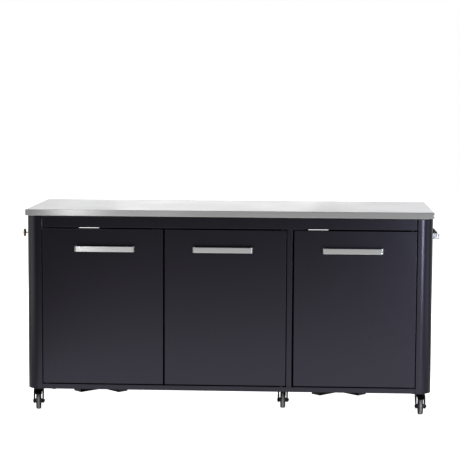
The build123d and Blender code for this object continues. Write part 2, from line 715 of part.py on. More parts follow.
nodes = {
    "worktop": [worktop()],
    "worktop_core": [worktop_core()],
    "side_panel_left": [side_panel_left()],
    "side_panel_right": [side_panel_right()],
    "fascia": [fascia()],
    "bottom_rail": [bottom_rail()],
    "rear_rail": [rear_rail()],
    "floor_pan": [floor_pan()],
    "back_panel": [back_panel()],
    "divider_post": [divider_post()],
    "partition": [partition()],
    "bottle_cradle_left": [bottle_cradle(WELLS["left"])],
    "bottle_cradle_right": [bottle_cradle(WELLS["right"])],
    "pivot_brackets": pivot_brackets(),
    "door_magnets": door_magnets(),
    "side_handle": side_handle(),
    "tool_peg": [tool_peg()],
    "caster_plates": [caster_plate(x, y) for x, y, turn in CASTERS.values()],
    "mounting_screws": mounting_screws(),
    "back_screws": back_screws(),
}
for name, (extent, side) in DOORS.items():
    handle_place = Pos(handle_x(extent, side), front, handle_level)
    nodes[name + "_skin"] = [door_skin(extent, side)]
    nodes[name + "_liner"] = [door_liner(extent)]
    nodes[name + "_handle"] = [handle_place * piece for piece in bow_handle()]
    nodes[name + "_pivot_pins"] = pivot_pins(extent, side)
    nodes[name + "_strike"] = [door_strike(extent, side)]
for name, (x, y, turn) in CASTERS.items():
    stand = Pos(x, y, 0) * Rot(0, 0, turn)
    nodes[name + "_fork"] = [stand * caster_fork()]
    if name in BRAKED:
        nodes[name + "_fork"].append(stand * brake_pedal())
    nodes[name + "_axle"] = [stand * caster_axle()]
    nodes[name + "_hub"] = [stand * caster_hub()]
    nodes[name + "_tyre"] = [stand * caster_tyre()]

os.makedirs("parts", exist_ok=True)
centred = Pos(-outline_middle, 0, 0)
for name, solids in nodes.items():
    placed = [centred * solid for solid in solids]
    shape = placed[0] if len(placed) == 1 else Compound(children=placed)
    export_step(shape, f"parts/{name}.step")
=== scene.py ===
import json
import math

import bmesh
import bpy
from mathutils import Matrix, Vector


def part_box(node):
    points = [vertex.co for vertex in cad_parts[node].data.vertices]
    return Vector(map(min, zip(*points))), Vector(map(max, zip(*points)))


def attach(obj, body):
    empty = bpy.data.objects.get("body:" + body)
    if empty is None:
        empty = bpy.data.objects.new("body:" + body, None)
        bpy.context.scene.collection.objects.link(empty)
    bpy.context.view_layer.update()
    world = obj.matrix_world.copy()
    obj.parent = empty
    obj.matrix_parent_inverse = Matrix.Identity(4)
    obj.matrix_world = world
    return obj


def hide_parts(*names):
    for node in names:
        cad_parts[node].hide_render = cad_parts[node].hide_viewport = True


# Outdoor kitchen unit in metres, +X right along the front, +Y to the back, +Z up, floor at Z 0.
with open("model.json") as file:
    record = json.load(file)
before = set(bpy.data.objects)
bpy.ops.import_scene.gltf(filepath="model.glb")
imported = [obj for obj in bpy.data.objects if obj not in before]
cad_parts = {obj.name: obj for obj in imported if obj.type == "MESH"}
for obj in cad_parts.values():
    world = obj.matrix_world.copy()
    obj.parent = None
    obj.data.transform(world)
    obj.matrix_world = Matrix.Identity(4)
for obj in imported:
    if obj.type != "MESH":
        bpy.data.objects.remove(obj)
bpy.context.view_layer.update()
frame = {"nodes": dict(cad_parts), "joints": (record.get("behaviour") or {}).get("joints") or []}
scene = bpy.context.scene
MM = 0.001


def span(node):
    """A node's extent along X, Y and Z in millimetres."""
    low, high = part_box(node)
    return [(low[i] / MM, high[i] / MM) for i in range(3)]


def centre_of(node, axis):
    """The middle of a node's extent along an axis in millimetres."""
    return sum(span(node)[axis]) / 2


# Sizes of the unit in millimetres, and a rib's angle in degrees
SHEET = 1.5
WORKTOP_BEND = 2.5
WORKTOP_RETURN = 22.0
COLUMN_RADIUS = 55.0
COLUMN_RETURN = 30.0
PANEL_FLANGE = 26.5
FOLD_RADIUS = 2.0
DOOR_SHEET = 1.2
DOOR_BEND = 2.0
HANDLE_LENGTH = 266.0
HANDLE_HEIGHT = 24.0
HANDLE_REACH = 32.0
HANDLE_STRIP = 5.0
HANDLE_LEG = 9.0
HANDLE_BEND = 9.0
HANDLE_EASE = 2.0
CRADLE_DROP = 49.0
CRADLE_REACH = 150.0
CRADLE_FOOT = 26.0
CRADLE_STRAP = 50.0
CRADLE_SHEET = 2.0
CRADLE_BEND = 4.0
CRADLE_TIP = 7.0
TRAIL = 28.0
AXLE_LEVEL = 37.5
TREAD_HALF = 4.6
TREAD_SEAT = 35.4
FORK_WIDTH = 46.0
FORK_SHEET = 6.8
FORK_BEND = 8.0
FORK_END = 10.0
FORK_CORNER = 6.4
FORK_EASE = 0.6
SKIRT_DEPTH = 20.0
CROWN_DEPTH = 48.0
PEDAL_WIDTH = 31.0
PEDAL_LAP = 12.0
PEDAL_REACH = 42.0
PEDAL_FALL = 11.5
PEDAL_SHEET = 3.0
PEDAL_CORNER = 6.0
RIVET_OFFSET = 8.0
PLATE_HALF = 31.0
PLATE_THICKNESS = 3.0
PLATE_CORNER = 7.0
CUP_RADIUS = 22.0
KINGPIN_RADIUS = 6.0
KINGPIN_HEAD = 9.0
RIM_RADIUS = 26.5
WEB_INSIDE = 11.5
WEB_OUTSIDE = 21.0
WEB_HALF = 4.0
HUB_RIBS = 5
RIB_ANGLE = 12.0
RIB_HEIGHT = 4.0
AXLE_RADIUS = 4.0
AXLE_HEAD = 7.0
SCREW_PITCH = 23.0
SCREW_RADIUS = 3.0
HEXAGON = 5.6
WASHER_RADIUS = 6.4
BACK_SCREW_ROWS = 5
BACK_SCREW_COLUMNS = 6
BACK_SCREW_INSET = 12.5
BACK_SCREW_END = 25.0
BACK_SCREW_DROP = 24.0
PEG_STEM = 2.5

# How near to a place an edge or a corner is picked, and how near two points become one
PICK = 0.1
MERGE = 0.001

# Places that the frame gives
FLOOR_LEVEL = span("floor_pan")[2][0]
MIDDLE_Y = centre_of("bottle_cradle_left", 1)
WELLS = {side: centre_of("bottle_cradle_" + side, 0) for side in ("left", "right")}
DOORS = ("door_left", "door_middle", "door_right")
JOINTS = {joint["name"]: joint for joint in frame["joints"]}
# Each caster's swivel axis as X and Y, and the angle that it is swivelled by as it stands
CASTERS = {}
for row in ("front", "rear"):
    for place in ("left", "middle", "right"):
        caster = "caster_" + row + "_" + place
        swivel = JOINTS[caster + "_swivel_joint"]["pos_m"]
        axle = JOINTS[caster + "_wheel_spin"]["axis"]
        CASTERS[caster] = (swivel[0] / MM, swivel[1] / MM, math.atan2(axle[1], axle[0]))
BRAKED = ("caster_front_left", "caster_front_right")
CROWN_TOP = span("caster_rear_left_fork")[2][1]
CROWN_BOTTOM = CROWN_TOP - FORK_SHEET
FORK_INSIDE = FORK_WIDTH / 2 - FORK_SHEET


# Finishes

def colour(code):
    """A linear colour with full alpha from an sRGB hex code."""
    parts = [int(code[i:i + 2], 16) / 255 for i in (1, 3, 5)]
    linear = [p / 12.92 if p <= 0.04045 else ((p + 0.055) / 1.055) ** 2.4 for p in parts]
    return (*linear, 1.0)


def add(tree, kind, inputs=None, **settings):
    """Adds a node with its settings; an input that is given a socket is linked to it.

    Inputs of the same name go by number: a map range reads from 1 to 2 and gives 3 to 4, a mix of
    colours has 6 and 7, a mix of numbers 2 and 3.
    """
    node = tree.nodes.new(kind)
    for name, value in settings.items():
        setattr(node, name, value)
    for key, value in (inputs or {}).items():
        if isinstance(value, bpy.types.NodeSocket):
            tree.links.new(value, node.inputs[key])
        else:
            node.inputs[key].default_value = value
    return node


def finish(name, constants):
    """A new material with the constant values set on its shader."""
    material = bpy.data.materials.new(name)
    material.use_nodes = True
    tree = material.node_tree
    shader = tree.nodes["Principled BSDF"]
    for socket, value in constants.items():
        shader.inputs[socket].default_value = value
    return material, tree, shader


def powder_coat():
    """Black polyester powder coat, baked satin: a slight orange peel that breaks up every reflection."""
    # The lavender specular tint is painted light: it gives the coat's reflections the lavender cast of the
    # light in front, while the floor itself stays white.
    material, tree, shader = finish("satin_black_powder_coat",
                                    {"IOR": 1.5, "Specular Tint": colour("#ebe4ff")})
    place = add(tree, "ShaderNodeTexCoord").outputs["Object"]
    cloud = add(tree, "ShaderNodeTexNoise", {"Vector": place, "Scale": 1 / (140 * MM), "Detail": 3.0})
    # Real orange peel is about 1.5 mm wide; it is drawn 5 mm wide so that it shows.
    peel = add(tree, "ShaderNodeTexNoise", {"Vector": place, "Scale": 1 / (5 * MM), "Detail": 2.0})
    tint = add(tree, "ShaderNodeMix", {0: cloud.outputs[0], 6: colour("#08080a"), 7: colour("#0d0c0f")},
               data_type="RGBA")
    gloss = add(tree, "ShaderNodeMapRange", {0: cloud.outputs[0], 3: 0.26, 4: 0.30})
    bump = add(tree, "ShaderNodeBump", {"Height": peel.outputs[0], "Strength": 0.04, "Distance": 1 * MM})
    tree.links.new(tint.outputs[2], shader.inputs["Base Color"])
    tree.links.new(gloss.outputs[0], shader.inputs["Roughness"])
    tree.links.new(bump.outputs[0], shader.inputs["Normal"])
    return material


def brushed_steel(name, along, constants, shades, gloss_range):
    """Stainless sheet brushed along one axis: fine scratches that draw highlights out across them."""
    material, tree, shader = finish(name, {"Metallic": 1.0, "Anisotropic": 1.0, **constants})
    place = add(tree, "ShaderNodeTexCoord").outputs["Object"]
    across = add(tree, "ShaderNodeTangent", direction_type="RADIAL", axis="XYZ"[along])
    tree.links.new(across.outputs[0], shader.inputs["Tangent"])
    # Real scratches are 0.1 mm wide and 60 mm long; they are drawn 3 mm by 250 mm so that they show.
    stretch = [1 / (3 * MM)] * 3
    stretch[along] = 1 / (250 * MM)
    lines = add(tree, "ShaderNodeMapping", {"Vector": place, "Scale": stretch})
    scratch = add(tree, "ShaderNodeTexNoise", {"Vector": lines.outputs[0], "Scale": 1.0, "Detail": 4.0})
    cloud = add(tree, "ShaderNodeTexNoise", {"Vector": place, "Scale": 1 / (200 * MM), "Detail": 2.0})
    tint = add(tree, "ShaderNodeMix", {0: scratch.outputs[0], 6: colour(shades[0]), 7: colour(shades[1])},
               data_type="RGBA")
    gloss = add(tree, "ShaderNodeMapRange", {0: cloud.outputs[0], 3: gloss_range[0], 4: gloss_range[1]})
    bump = add(tree, "ShaderNodeBump", {"Height": scratch.outputs[0], "Strength": 0.06, "Distance": 1 * MM})
    tree.links.new(tint.outputs[2], shader.inputs["Base Color"])
    tree.links.new(gloss.outputs[0], shader.inputs["Roughness"])
    tree.links.new(bump.outputs[0], shader.inputs["Normal"])
    return material


def mottled(name, constants, shades, gloss_range, grain, bump_strength):
    """A finish that is even but for a fine grain, in millimetres, which shifts its shade and its gloss."""
    material, tree, shader = finish(name, constants)
    place = add(tree, "ShaderNodeTexCoord").outputs["Object"]
    speck = add(tree, "ShaderNodeTexNoise", {"Vector": place, "Scale": 1 / (grain * MM), "Detail": 3.0})
    tint = add(tree, "ShaderNodeMix", {0: speck.outputs[0], 6: colour(shades[0]), 7: colour(shades[1])},
               data_type="RGBA")
    gloss = add(tree, "ShaderNodeMapRange", {0: speck.outputs[0], 3: gloss_range[0], 4: gloss_range[1]})
    bump = add(tree, "ShaderNodeBump",
               {"Height": speck.outputs[0], "Strength": bump_strength, "Distance": 1 * MM})
    tree.links.new(tint.outputs[2], shader.inputs["Base Color"])
    tree.links.new(gloss.outputs[0], shader.inputs["Roughness"])
    tree.links.new(bump.outputs[0], shader.inputs["Normal"])
    return material


FINISHES = {
    "black_powder_coat": powder_coat(),
    "worktop_steel": brushed_steel(
        "brushed_stainless_worktop", 0, {}, ("#afafae", "#bfbfbf"), (0.27, 0.33)),
    "handle_steel": brushed_steel(
        "brushed_stainless_handle", 0, {}, ("#bebebe", "#d2d2d1"), (0.27, 0.33)),
    # The side handle is the same stainless as the door handles, drawn darker as painted shade so that the
    # right key's light on it reads dimmer.
    "shaded_handle_steel_crosswise": brushed_steel(
        "shaded_brushed_stainless_side_handle", 1, {"Anisotropic": 0.2}, ("#a09f9e", "#b3b2b0"), (0.22, 0.28)),
    # Zinc plating over steel: pale, a little cloudy
    "zinc_steel": mottled(
        "zinc_plated_steel", {"Metallic": 1.0}, ("#a9acb0", "#c3c6c9"), (0.32, 0.46), 6.0, 0.05),
    # Zinc plating passivated black: dark and even, with a faint sheen
    "black_zinc": mottled(
        "black_passivated_zinc", {"IOR": 1.5}, ("#0d0d0e", "#161617"), (0.40, 0.52), 6.0, 0.05),
    # Pressed steel dipped in black enamel, smooth and half gloss; its reflections are dimmed (Specular IOR
    # Level 0.25) as painted shade for the shade under the cabinet
    "caster_steel": mottled(
        "black_enamelled_steel_dimmed_as_shade", {"IOR": 1.5, "Specular IOR Level": 0.25}, ("#08080a", "#0f0f11"),
        (0.42, 0.52), 8.0, 0.06),
    # Steel burnished brown: dark with warm glints
    "peg_steel": mottled(
        "burnished_brown_steel", {"Metallic": 1.0}, ("#6e6153", "#978773"), (0.28, 0.42), 5.0, 0.05),
    # Moulded ABS: even and dull
    "magnet_plastic": mottled(
        "moulded_black_abs", {"IOR": 1.53}, ("#17171a", "#202023"), (0.42, 0.52), 3.0, 0.05),
    # Moulded polypropylene: slightly waxy grey
    "hub_plastic": mottled(
        "moulded_grey_polypropylene", {"IOR": 1.49}, ("#2a2a2c", "#343437"), (0.38, 0.50), 4.0, 0.06),
    # Vulcanised rubber: dull, dusted by the floor
    "tyre_rubber": mottled(
        "dark_vulcanised_rubber", {"IOR": 1.52}, ("#121214", "#1e1e20"), (0.45, 0.62), 5.0, 0.12),
    # Non-marking grey rubber: pale and dull
    "tread_rubber": mottled(
        "grey_non_marking_rubber", {"IOR": 1.5}, ("#808080", "#909090"), (0.55, 0.70), 5.0, 0.10),
    # Melamine faced chipboard: flat grey paper face
    "core_board": mottled(
        "melamine_faced_chipboard", {"IOR": 1.5}, ("#6e6a64", "#7c7871"), (0.50, 0.62), 4.0, 0.05),
}


# Each node's finish by the name of its slot, and the dressing of the solids that keep their shape
SLOTS = {name: node.material_slots[0].material.name for name, node in frame["nodes"].items()}
for name, node in frame["nodes"].items():
    hinge = name == "pivot_brackets" or name.endswith("_pivot_pins")
    node.material_slots[0].material = FINISHES["black_zinc" if hinge else SLOTS[name]]


# Shaping, in millimetres

def block(shape, x, y, z):
    """A box between two values along each axis; gives its vertices."""
    corners = bmesh.ops.create_cube(shape, size=1.0)["verts"]
    size = (x[1] - x[0], y[1] - y[0], z[1] - z[0])
    bmesh.ops.scale(shape, vec=size, verts=corners)
    middle = ((x[0] + x[1]) / 2, (y[0] + y[1]) / 2, (z[0] + z[1]) / 2)
    bmesh.ops.translate(shape, vec=middle, verts=corners)
    return corners


def edges_among(corners):
    """The edges that run between the given vertices."""
    inside = set(corners)
    return [e for e in {e for v in corners for e in v.link_edges} if set(e.verts) <= inside]


def runs_along(edge, axis):
    """Whether an edge is parallel to an axis, 0 to 2."""
    step = edge.verts[1].co - edge.verts[0].co
    return abs(step[axis]) > 0.999 * step.length


def folds_of(shape):
    """Edges that join two faces of an open sheet."""
    return [e for e in shape.edges if e.is_manifold]


def sharp_edges(shape, degrees=40.0):
    """Edges where two faces meet at more than an angle."""
    limit = math.radians(degrees)
    return [e for e in folds_of(shape) if e.calc_face_angle(0.0) > limit]


def round_off(shape, edges, radius, segments=3):
    """Rounds edges over with a radius."""
    bmesh.ops.bevel(shape, geom=list(edges), offset=radius, offset_type="OFFSET", affect="EDGES",
                    segments=segments, profile=0.5, material=-1)


def round_corners(shape, corners, radius, segments=4):
    """Rounds the corners of an open sheet."""
    bmesh.ops.bevel(shape, geom=list(corners), offset=radius, offset_type="OFFSET", affect="VERTICES",
                    segments=segments, profile=0.5, material=-1)


def trim(shape, point, normal):
    """Cuts away what lies beyond a plane."""
    everything = shape.verts[:] + shape.edges[:] + shape.faces[:]
    bmesh.ops.bisect_plane(shape, geom=everything, dist=MERGE, plane_co=point, plane_no=normal,
                           clear_outer=True)


def lathe(shape, profile, axis, centre, steps=48):
    """Turns a profile of radius and height about an axis through a centre."""
    before = set(shape.verts)
    points = []
    for radius, height in profile:
        point = Vector(centre)
        point[axis] += height
        point[(axis + 1) % 3] += radius
        points.append(shape.verts.new(point))
    rings = [shape.edges.new(pair) for pair in zip(points, points[1:])]
    spindle = Vector((axis == 0, axis == 1, axis == 2))
    bmesh.ops.spin(shape, geom=points + rings, cent=centre, axis=spindle, dvec=(0.0, 0.0, 0.0),
                   angle=2 * math.pi, steps=steps, use_merge=True, use_duplicate=False)
    bmesh.ops.remove_doubles(shape, verts=[v for v in shape.verts if v not in before], dist=MERGE)
    turned = {f for v in shape.verts if v not in before for f in v.link_faces}
    bmesh.ops.recalc_face_normals(shape, faces=list(turned))


def fold(shape, line, axis, extent):
    """Draws a line of points, given across an axis, out along that axis to an open folded sheet."""
    across = [i for i in range(3) if i != axis]
    points = []
    for pair in line:
        point = Vector((0.0, 0.0, 0.0))
        point[axis] = extent[0]
        point[across[0]], point[across[1]] = pair
        points.append(shape.verts.new(point))
    edges = [shape.edges.new(pair) for pair in zip(points, points[1:])]
    drawn = bmesh.ops.extrude_edge_only(shape, edges=edges)["geom"]
    step = Vector((0.0, 0.0, 0.0))
    step[axis] = extent[1] - extent[0]
    bmesh.ops.translate(shape, vec=step, verts=[v for v in drawn if isinstance(v, bmesh.types.BMVert)])


def thicken(shape, thickness):
    """Gives the whole sheet a wall behind its faces; a negative thickness first turns the sheet over."""
    if thickness < 0:
        bmesh.ops.reverse_faces(shape, faces=shape.faces[:])
    bmesh.ops.solidify(shape, geom=shape.faces[:], thickness=abs(thickness))


def take_in(shape, other):
    """Adds a finished shape to another."""
    carrier = bpy.data.meshes.new("carrier")
    other.to_mesh(carrier)
    other.free()
    shape.from_mesh(carrier)
    bpy.data.meshes.remove(carrier)


def piece(name, shape, body, node, finish_name=None):
    """Makes a shape a piece in metres that rides on a body and stands for a node."""
    bmesh.ops.scale(shape, vec=(MM, MM, MM), verts=shape.verts)
    mesh = bpy.data.meshes.new(name)
    shape.to_mesh(mesh)
    shape.free()
    mesh.materials.append(FINISHES[finish_name or SLOTS[node]])
    mesh.shade_smooth()
    mesh.set_sharp_from_angle(angle=math.radians(35.0))
    thing = bpy.data.objects.new(name, mesh)
    scene.collection.objects.link(thing)
    even = thing.modifiers.new("even_normals", "WEIGHTED_NORMAL")
    even.keep_sharp = True
    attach(thing, body)
    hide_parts(node)


# Cabinet

def worktop_skin():
    """The stainless skin: one sheet folded down on four sides, with a return under the edge."""
    shape = bmesh.new()
    block(shape, *span("worktop"))
    round_off(shape, shape.edges[:], WORKTOP_BEND, 4)
    under = min(shape.faces, key=lambda f: f.normal.z * f.calc_area())
    bmesh.ops.inset_region(shape, faces=[under], thickness=WORKTOP_RETURN - WORKTOP_BEND)
    bmesh.ops.delete(shape, geom=[under], context="FACES")
    thicken(shape, SHEET)
    piece("worktop_skin", shape, "cabinet", "worktop")


def side_wall(side, node):
    """A side panel: the sheet rolled round to the front column and folded back beside the door."""
    shape = bmesh.new()
    x, (front, back), (low, high) = span(node)
    edge, face = (x[1], x[0]) if side < 0 else x
    fold(shape, [(edge, front + COLUMN_RETURN), (edge, front), (face, front), (face, back)], 2, (low, high))
    column = [e for e in folds_of(shape) if abs(e.verts[0].co.x - face) < PICK]
    round_off(shape, column, COLUMN_RADIUS, 28)
    lip = [e for e in sharp_edges(shape) if abs(e.verts[0].co.x - edge) < PICK]
    round_off(shape, lip, FOLD_RADIUS, 4)
    thicken(shape, -side * SHEET)
    inner = sorted((face - side * SHEET, face - side * PANEL_FLANGE))
    block(shape, inner, (back - 2 * SHEET, back - SHEET), (low, high))
    block(shape, inner, (front + COLUMN_RADIUS, back - 2 * SHEET), (high - SHEET, high))
    piece(node + "_sheet", shape, "cabinet", node)


def front_channel(node):
    """A channel across the front between the columns, folded at its upper and its lower edge."""
    shape = bmesh.new()
    x, (front, back), (low, high) = span(node)
    fold(shape, [(back, high), (front, high), (front, low), (back, low)], 0, x)
    round_off(shape, folds_of(shape), FOLD_RADIUS, 4)
    thicken(shape, -SHEET)
    piece(node + "_sheet", shape, "cabinet", node)


def door_post():
    """The slim post between the middle and the right door, folded back at both sides."""
    shape = bmesh.new()
    (left, right), (front, back), z = span("divider_post")
    fold(shape, [(left, back), (left, front), (right, front), (right, back)], 2, z)
    round_off(shape, folds_of(shape), FOLD_RADIUS, 4)
    thicken(shape, -SHEET)
    piece("divider_post_sheet", shape, "cabinet", "divider_post")


def cradle(centre, node):
    """Two crossed straps, one laid over the other, bent up at the ends to feet under the floor."""
    shape = bmesh.new()
    under = FLOOR_LEVEL - CRADLE_SHEET
    end = CRADLE_REACH + CRADLE_FOOT
    for turn, lift in ((45.0, 0.0), (-45.0, CRADLE_SHEET)):
        strap = bmesh.new()
        low = FLOOR_LEVEL - CRADLE_DROP + lift
        half = [(CRADLE_REACH, low), (CRADLE_REACH, under), (end, under)]
        line = [(-x, z) for x, z in reversed(half)] + half
        fold(strap, line, 1, (-CRADLE_STRAP / 2, CRADLE_STRAP / 2))
        round_off(strap, folds_of(strap), CRADLE_BEND, 5)
        round_corners(strap, [v for v in strap.verts if abs(v.co.x) > end - PICK], CRADLE_TIP)
        thicken(strap, CRADLE_SHEET)
        bmesh.ops.rotate(strap, matrix=Matrix.Rotation(math.radians(turn), 3, "Z"), verts=strap.verts)
        bmesh.ops.translate(strap, vec=(centre, MIDDLE_Y, 0.0), verts=strap.verts)
        take_in(shape, strap)
    piece(node + "_straps", shape, "cabinet", node)


def hex_screw(shape, x, y, under):
    """A hexagon screw up through a plate and the floor, a washer and a nut at its inner end."""
    above = FLOOR_LEVEL + SHEET - under
    place = (x, y, under)
    stem = [(0.0, -1.0), (SCREW_RADIUS, -1.0), (SCREW_RADIUS, above + 4.0), (2.4, above + 4.6),
            (0.0, above + 4.6)]
    head = [(0.0, -4.0), (4.6, -4.0), (HEXAGON, -3.4), (HEXAGON, -0.9), (0.0, -0.9)]
    collar = [(0.0, -0.9), (WASHER_RADIUS, -0.9), (WASHER_RADIUS, 0.0), (0.0, 0.0)]
    washer = [(0.0, above), (WASHER_RADIUS, above), (WASHER_RADIUS, above + 0.8), (0.0, above + 0.8)]
    nut = [(SCREW_RADIUS, above + 0.8), (HEXAGON, above + 0.8), (HEXAGON, above + 3.4), (4.8, above + 4.0),
           (SCREW_RADIUS, above + 4.0), (SCREW_RADIUS, above + 0.8)]
    for profile, steps in ((stem, 16), (head, 6), (collar, 24), (washer, 24), (nut, 6)):
        lathe(shape, profile, 2, place, steps)


def hex_screws():
    """The screws of the casters and of the cradles."""
    shape = bmesh.new()
    squares = [(x, y, SCREW_PITCH, FLOOR_LEVEL - PLATE_THICKNESS) for x, y, _ in CASTERS.values()]
    reach = (CRADLE_REACH + CRADLE_FOOT / 2) / 2 ** 0.5
    squares += [(x, MIDDLE_Y, reach, FLOOR_LEVEL - CRADLE_SHEET) for x in WELLS.values()]
    for x, y, offset, under in squares:
        for i, j in ((-1, -1), (-1, 1), (1, -1), (1, 1)):
            hex_screw(shape, x + i * offset, y + j * offset, under)
    piece("hex_screws", shape, "cabinet", "mounting_screws")


def button_screws():
    """Button headed screws with a socket, down both sides and along the top of the back panel."""
    shape = bmesh.new()
    x, (_, back), (low, high) = span("back_panel")
    centre = (x[0] + x[1]) / 2
    side = x[1] - centre - BACK_SCREW_INSET
    rise = (high - low) / BACK_SCREW_ROWS
    places = [(centre + s * side, low + rise * (i + 0.5)) for s in (-1, 1) for i in range(BACK_SCREW_ROWS)]
    pitch = (side - BACK_SCREW_END) / (BACK_SCREW_COLUMNS / 2)
    first = (1 - BACK_SCREW_COLUMNS) / 2
    places += [(centre + pitch * (first + i), high - BACK_SCREW_DROP) for i in range(BACK_SCREW_COLUMNS)]
    profile = [(0.0, 0.7), (1.3, 0.7), (1.3, 2.2), (2.2, 2.1), (3.2, 1.5), (3.8, 0.7), (4.0, 0.0),
               (2.0, 0.0), (2.0, -8.0), (0.0, -8.0)]
    for across, level in places:
        lathe(shape, profile, 1, (across, back, level), 24)
    piece("button_screws", shape, "cabinet", "back_screws")


def disc_peg():
    """The disc headed peg on the left side, turned in one piece, with its nut inside."""
    shape = bmesh.new()
    (tip, _), (near, far), (low, high) = span("tool_peg")
    face = span("side_panel_left")[0][0]
    head = tip - face
    rim = (far - near) / 2
    place = (face, (near + far) / 2, (low + high) / 2)
    disc = [(0.0, head + 0.6), (rim - 6.0, head + 0.6), (rim - 4.5, head), (rim - 2.5, head),
            (rim - 0.7, head + 0.7), (rim, head + 2.5), (rim, head + 5.5), (rim - 0.7, head + 7.3),
            (rim - 2.5, head + 8.0), (5.0, head + 8.2), (3.2, head + 9.5), (PEG_STEM, head + 12.0)]
    foot = [(PEG_STEM, -4.0), (3.2, -2.4), (6.4, -2.0), (7.0, -1.4), (7.0, 0.0), (PEG_STEM, 0.0),
            (PEG_STEM, 6.5), (0.0, 6.5)]
    nut = [(PEG_STEM, 1.5), (HEXAGON, 1.5), (HEXAGON, 5.0), (4.8, 5.5), (PEG_STEM, 5.5), (PEG_STEM, 1.5)]
    lathe(shape, disc + foot, 0, place)
    lathe(shape, nut, 0, place, 6)
    piece("disc_peg", shape, "cabinet", "tool_peg")


# Doors and handles

def bow(shape, place, turn):
    """A bow handle bent from flat bar, its long edges eased; it reaches towards -Y before it is turned."""
    grip = bmesh.new()
    half, level = HANDLE_LENGTH / 2, HANDLE_HEIGHT / 2
    inner, room = half - HANDLE_LEG, HANDLE_STRIP - HANDLE_REACH
    line = [(-half, 0.0), (-half, -HANDLE_REACH), (half, -HANDLE_REACH), (half, 0.0),
            (inner, 0.0), (inner, room), (-inner, room), (-inner, 0.0)]
    outline = grip.faces.new([grip.verts.new((x, y, -level)) for x, y in line])
    raised = bmesh.ops.extrude_face_region(grip, geom=[outline], use_keep_orig=True)["geom"]
    bmesh.ops.translate(grip, vec=(0.0, 0.0, HANDLE_HEIGHT),
                        verts=[v for v in raised if isinstance(v, bmesh.types.BMVert)])
    upright = [e for e in grip.edges if runs_along(e, 2)]
    round_off(grip, [e for e in upright if e.verts[0].co.y < -HANDLE_REACH + PICK], HANDLE_BEND, 10)
    upright = [e for e in grip.edges if runs_along(e, 2)]
    round_off(grip, [e for e in upright if abs(e.verts[0].co.y - room) < PICK
                     and abs(abs(e.verts[0].co.x) - inner) < PICK], HANDLE_BEND - HANDLE_STRIP, 6)
    bmesh.ops.recalc_face_normals(grip, faces=grip.faces)
    # The long edges are eased down to the door, but not where the legs meet it or on their inner sides
    eased = []
    for edge in sharp_edges(grip, 60.0):
        flat = abs(edge.verts[0].co.z - edge.verts[1].co.z) < PICK
        seated = sum(v.co.y > -PICK for v in edge.verts)
        outside = abs(edge.verts[0].co.x) > inner + 1.0
        if flat and (seated == 0 or seated == 1 and outside):
            eased.append(edge)
    round_off(grip, eased, HANDLE_EASE, 3)
    bmesh.ops.rotate(grip, matrix=Matrix.Rotation(math.radians(turn), 3, "Z"), verts=grip.verts)
    bmesh.ops.translate(grip, vec=place, verts=grip.verts)
    take_in(shape, grip)


def door_pan(door):
    """A door's outer pan: the face and its four folded edges."""
    shape = bmesh.new()
    x, y, z = span(door + "_skin")
    block(shape, x, y, z)
    round_off(shape, [e for e in shape.edges if min(v.co.y for v in e.verts) < y[0] + PICK], DOOR_BEND, 4)
    rear = max(shape.faces, key=lambda f: f.normal.y * f.calc_area())
    bmesh.ops.delete(shape, geom=[rear], context="FACES_ONLY")
    thicken(shape, DOOR_SHEET)
    piece(door + "_pan", shape, door, door + "_skin")


def door_bow(door):
    """A door's handle, on its pan."""
    shape = bmesh.new()
    (left, right), _, (low, high) = span(door + "_handle")
    front = span(door + "_skin")[1][0]
    bow(shape, ((left + right) / 2, front, (low + high) / 2), 0.0)
    piece(door + "_bow", shape, door, door + "_handle")


def side_bow():
    """The handle on the right side, with its two screw heads inside the cabinet."""
    shape = bmesh.new()
    (_, reach), (near, far), (low, high) = span("side_handle")
    face = reach - HANDLE_REACH
    middle, level = (near + far) / 2, (low + high) / 2
    bow(shape, (face, middle, level), 90.0)
    spread = (HANDLE_LENGTH - HANDLE_LEG) / 2
    profile = [(0.0, -3.0), (1.3, -3.0), (1.3, -4.0), (2.6, -3.9), (3.8, -3.2), (4.5, -2.0), (4.5, -SHEET),
               (2.5, -SHEET), (2.5, 12.0), (0.0, 12.0)]
    for y in (middle - spread, middle + spread):
        lathe(shape, profile, 0, (face, y, level), 24)
    piece("side_bow", shape, "cabinet", "side_handle", "shaded_handle_steel_crosswise")


# Casters

def stand(shape, caster):
    """Turns a shape, made about a swivel axis at the origin, as its caster stands, and moves it there."""
    x, y, turn = CASTERS[caster]
    bmesh.ops.rotate(shape, matrix=Matrix.Rotation(turn, 3, "Z"), verts=shape.verts)
    bmesh.ops.translate(shape, vec=(x, y, 0.0), verts=shape.verts)


def caster_tops():
    """The plates under the floor, each with its pressed bearing cup and the riveted kingpin."""
    shape = bmesh.new()
    plate_low = FLOOR_LEVEL - PLATE_THICKNESS
    head = CROWN_BOTTOM - plate_low - 0.3
    cup = [(0.0, 0.0), (CUP_RADIUS, 0.0), (CUP_RADIUS, -1.7), (20.8, -2.3), (20.8, -3.1),
           (CUP_RADIUS, -3.7), (CUP_RADIUS, -4.7), (20.9, -5.7)]
    kingpin = [(KINGPIN_RADIUS, -5.7), (KINGPIN_RADIUS, head), (KINGPIN_HEAD, head),
               (KINGPIN_HEAD, head - 1.3), (7.6, head - 2.8), (0.0, head - 3.0)]
    for x, y, _ in CASTERS.values():
        corners = block(shape, (x - PLATE_HALF, x + PLATE_HALF), (y - PLATE_HALF, y + PLATE_HALF),
                        (plate_low, FLOOR_LEVEL))
        round_off(shape, [e for e in edges_among(corners) if runs_along(e, 2)], PLATE_CORNER, 5)
        lathe(shape, cup + kingpin, 2, (x, y, plate_low))
    piece("caster_tops", shape, "cabinet", "caster_plates", "black_zinc")


